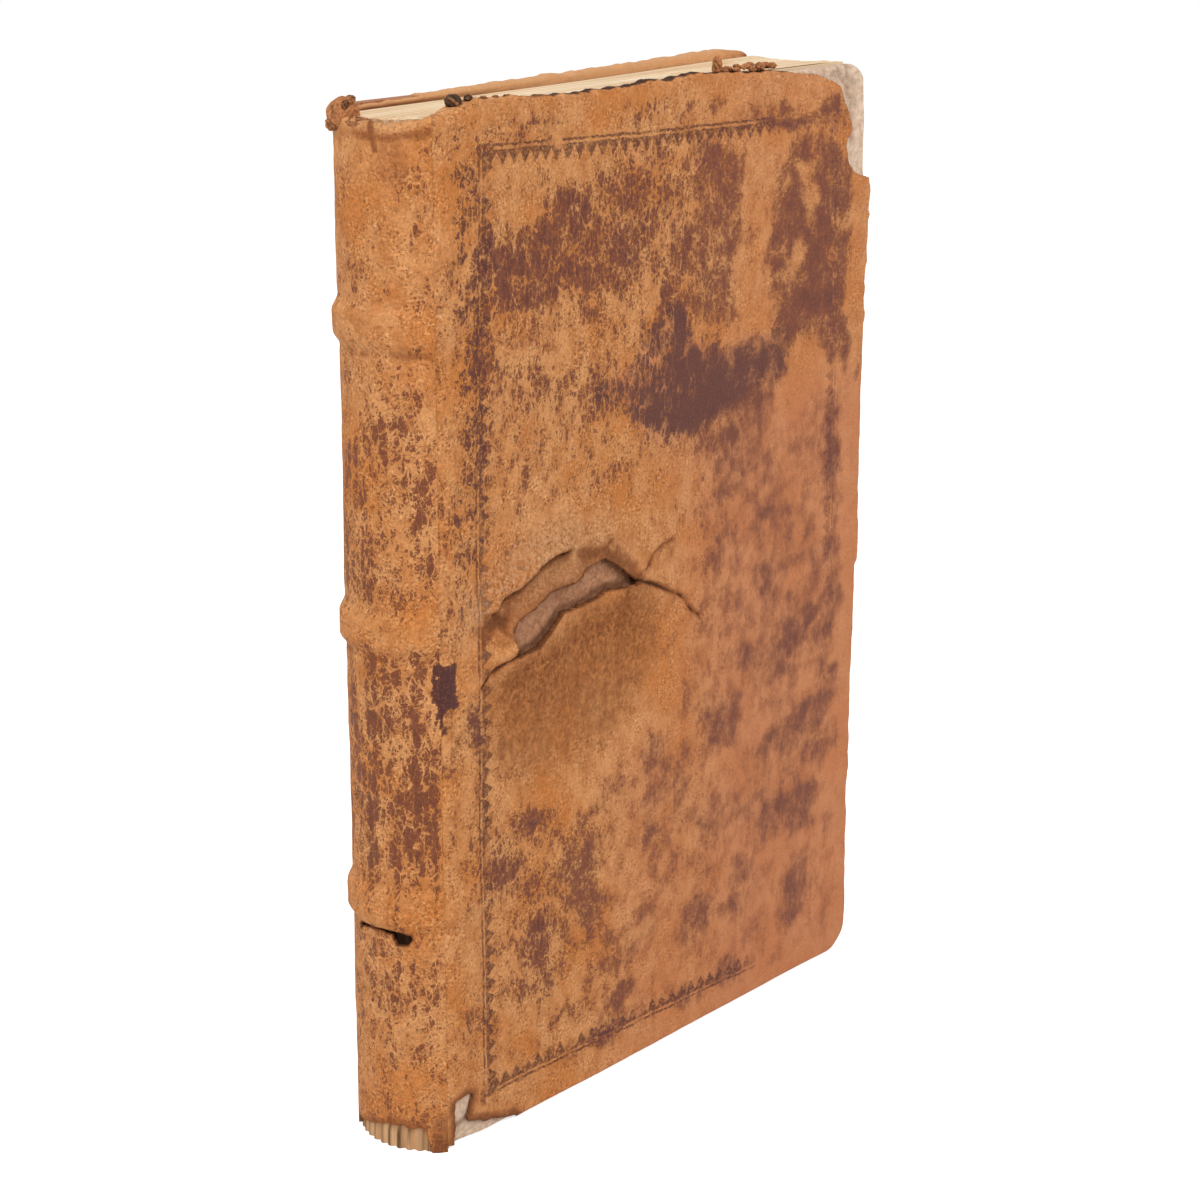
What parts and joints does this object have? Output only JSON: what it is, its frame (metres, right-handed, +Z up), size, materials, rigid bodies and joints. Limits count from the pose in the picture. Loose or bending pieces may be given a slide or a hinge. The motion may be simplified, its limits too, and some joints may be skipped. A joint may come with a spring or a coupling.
{
  "type": "antique leather book",
  "caption": "Closed hardback book standing on its tail: worn tan calf over pasteboard, rounded spine with raised bands, torn front leather, and two covers that open.",
  "frame": {"origin": "on the tail of the leaves, at the joint line and midway between the two covers, where the book stands", "axes": "+Z up from tail to head, +X from the joint line to the fore-edge, -Y out of the front cover"},
  "size_m": [0.1427, 0.0326, 0.2057],
  "materials": {
    "calf": "matte",
    "pasteboard": "matte",
    "leaves": "matte",
    "lining_paper": "matte",
    "hemp": "matte"
  },
  "bodies": {
    "book_block": {"text_block": "leaves", "spine_leather": "calf", "lower_sewing_support": "hemp", "middle_sewing_support": "hemp", "upper_sewing_support": "hemp"},
    "front_cover": {"front_board": "pasteboard", "front_leather": "calf", "front_pastedown": "lining_paper", "front_lower_slip": "hemp", "front_middle_slip": "hemp", "front_upper_slip": "hemp"},
    "rear_cover": {"rear_board": "pasteboard", "rear_leather": "calf", "rear_pastedown": "lining_paper", "rear_lower_slip": "hemp", "rear_middle_slip": "hemp", "rear_upper_slip": "hemp"}
  },
  "joints": [
    {"name": "front_cover_hinge", "type": "hinge", "parent": "book_block", "child": "front_cover", "pos_m": [0, -0.01275, 0.1025], "axis": [0, 0, -1], "range_deg": [0, 120]},
    {"name": "rear_cover_hinge", "type": "hinge", "parent": "book_block", "child": "rear_cover", "pos_m": [0, 0.01275, 0.1025], "axis": [0, 0, 1], "range_deg": [0, 120]}
  ]
}
